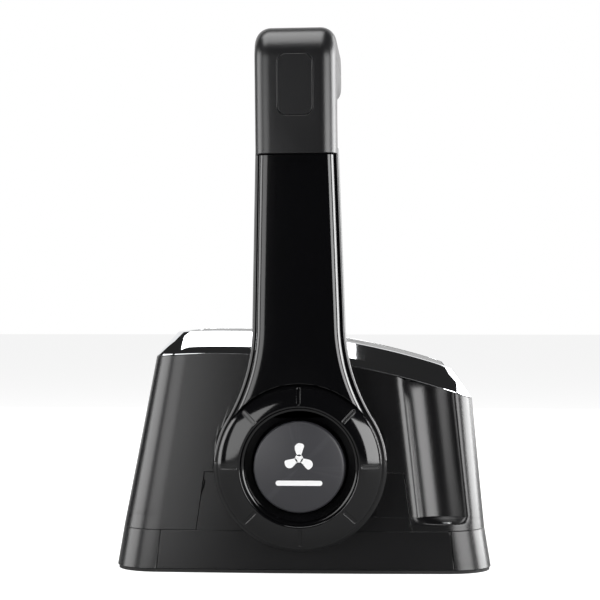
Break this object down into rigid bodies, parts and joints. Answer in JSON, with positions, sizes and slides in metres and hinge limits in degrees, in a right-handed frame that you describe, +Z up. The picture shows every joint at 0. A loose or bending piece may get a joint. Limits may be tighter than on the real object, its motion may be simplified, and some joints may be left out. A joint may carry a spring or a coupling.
{
  "type": "single-lever engine remote control",
  "caption": "Top-mount single-lever boat control: a hub lever with an angled hand grip and warm-up button on a bevelled binnacle housing that screws to a deck.",
  "frame": {"origin": "middle of the deck screw pattern on the underside of the deck gasket", "axes": "+X aft (the lower end of the roof), -Y the lever side, +Z up from the deck"},
  "size_m": [0.184, 0.14, 0.2621],
  "materials": {
    "textured_black": "fine grained satin",
    "smooth_black": "smooth satin",
    "gloss_black": "high gloss",
    "grip_black": "soft satin grain",
    "cap_grey": "satin",
    "emblem": "printed",
    "bright_chrome": "polished",
    "rubber_black": "matte",
    "steel": "machined",
    "casting": "cast",
    "brass": "turned",
    "nylon": "moulded",
    "switch_red": "moulded"
  },
  "bodies": {
    "base": {"mounting_gasket": "rubber_black", "base_frame": "textured_black", "skirt_panel_near": "smooth_black", "skirt_panel_far": "smooth_black", "housing": "textured_black", "slot_filler": "textured_black", "far_side_blank": "textured_black", "chrome_bezel": "bright_chrome", "top_panel": "textured_black", "housing_screws": "steel", "shaft_collar": "nylon", "shaft_seal": "rubber_black", "chassis_plate_near": "casting", "chassis_plate_far": "casting", "chassis_spacers": "steel", "chassis_screws": "steel", "shaft_bushings": "brass", "shift_axle": "steel", "axle_sleeves": "nylon", "cable_anchors": "casting", "cable_clamps": "steel", "detent_block": "casting", "detent_spring": "steel", "detent_plug": "brass", "drag_pad": "brass", "drag_bracket": "casting", "drag_screw": "steel", "neutral_switch": "gloss_black", "switch_bracket": "casting"},
    "lever": {"lever_core": "casting", "lever_front_cover": "gloss_black", "lever_rear_cover": "gloss_black", "hub_ring": "gloss_black", "recess_cup": "gloss_black", "cover_screws": "steel", "grip_cover": "grip_black", "grip_underside": "grip_black", "grip_screws": "steel", "switch_blank": "grip_black", "shaft_nut": "steel", "main_shaft": "steel", "shaft_key": "steel", "button_spring": "steel", "shaft_circlip": "steel", "drive_gear": "steel", "throttle_crank": "casting", "throttle_cable_pin": "steel", "detent_wheel": "steel", "drag_drum": "casting", "switch_cam": "nylon"},
    "button": {"button_cap": "cap_grey", "button_stem": "steel"},
    "shift_quadrant": {"shift_gear": "steel", "shift_arm": "casting", "shift_rivets": "steel", "shift_cable_pin": "steel"},
    "detent": {"detent_plunger": "steel"},
    "switch_plunger": {"switch_button": "switch_red"}
  },
  "joints": [
    {"name": "lever_swing", "type": "hinge", "parent": "base", "child": "lever", "pos_m": [0, -0.07, 0.0532], "axis": [0, -1, 0], "range_deg": [-65, 85]},
    {"name": "button_press", "type": "slide", "parent": "lever", "child": "button", "axis": [0, 1, 0], "range_m": [0, 0.003], "stiffness_N_per_m": 700, "springref_m": -0.002, "deforming": ["button_spring"]},
    {"name": "shift_turn", "type": "hinge", "parent": "base", "child": "shift_quadrant", "pos_m": [-0.04299, 0, 0.03989], "axis": [0, -1, 0], "range_deg": [-60, 45]},
    {"name": "detent_lift", "type": "slide", "parent": "base", "child": "detent", "axis": [0, 0, 1], "range_m": [0, 0.002], "stiffness_N_per_m": 900, "springref_m": -0.003, "deforming": ["detent_spring"]},
    {"name": "switch_press", "type": "slide", "parent": "base", "child": "switch_plunger", "axis": [1, 0, 0], "range_m": [0, 0.0015], "stiffness_N_per_m": 400, "springref_m": -0.001}
  ],
  "couplings": [
    {"joint": "shift_turn", "follows": "lever_swing", "ratio": -0.66667}
  ]
}
